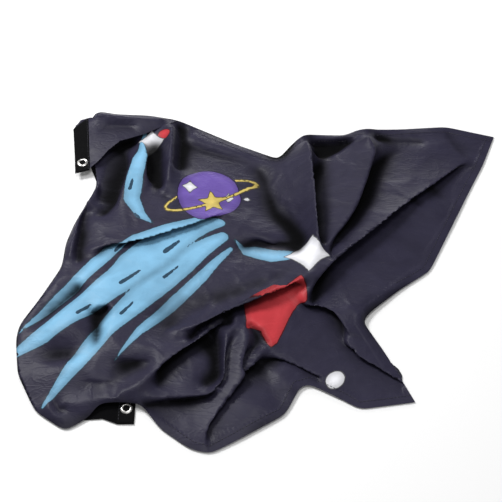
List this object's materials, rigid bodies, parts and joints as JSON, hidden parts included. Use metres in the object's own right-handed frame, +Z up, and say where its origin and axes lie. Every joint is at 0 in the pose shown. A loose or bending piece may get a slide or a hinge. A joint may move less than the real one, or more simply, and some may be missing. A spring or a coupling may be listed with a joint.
{
  "type": "printed cape cloth",
  "caption": "Rectangular printed costume cape cloth with hemmed edges and a heading tape with eyelets, lying crumpled with one corner turned over.",
  "frame": {"origin": "middle of the underside of the object's box, on the surface that the cloth lies on", "axes": "+X along the laid cloth's longer side, from the heading tape towards the fly edge; +Y from the bottom hem towards the top hem; +Z up"},
  "size_m": [0.68, 0.548, 0.0437],
  "materials": {
    "cloth": "thin satin-weave polyester, dark navy, printed on one side",
    "tape": "black woven heading tape, folded over the edge",
    "eyelet_metal": "nickel-plated pressed brass",
    "thread": "dark polyester lockstitch thread"
  },
  "bodies": {
    "root": {"printed_panel": "cloth", "heading_tape": "tape", "upper_eyelet": "eyelet_metal", "upper_washer": "eyelet_metal", "lower_eyelet": "eyelet_metal", "lower_washer": "eyelet_metal", "top_hem_stitch": "thread", "fly_hem_stitch": "thread", "bottom_hem_stitch": "thread", "upper_tape_stitch": "thread", "lower_tape_stitch": "thread"}
  },
  "joints": []
}
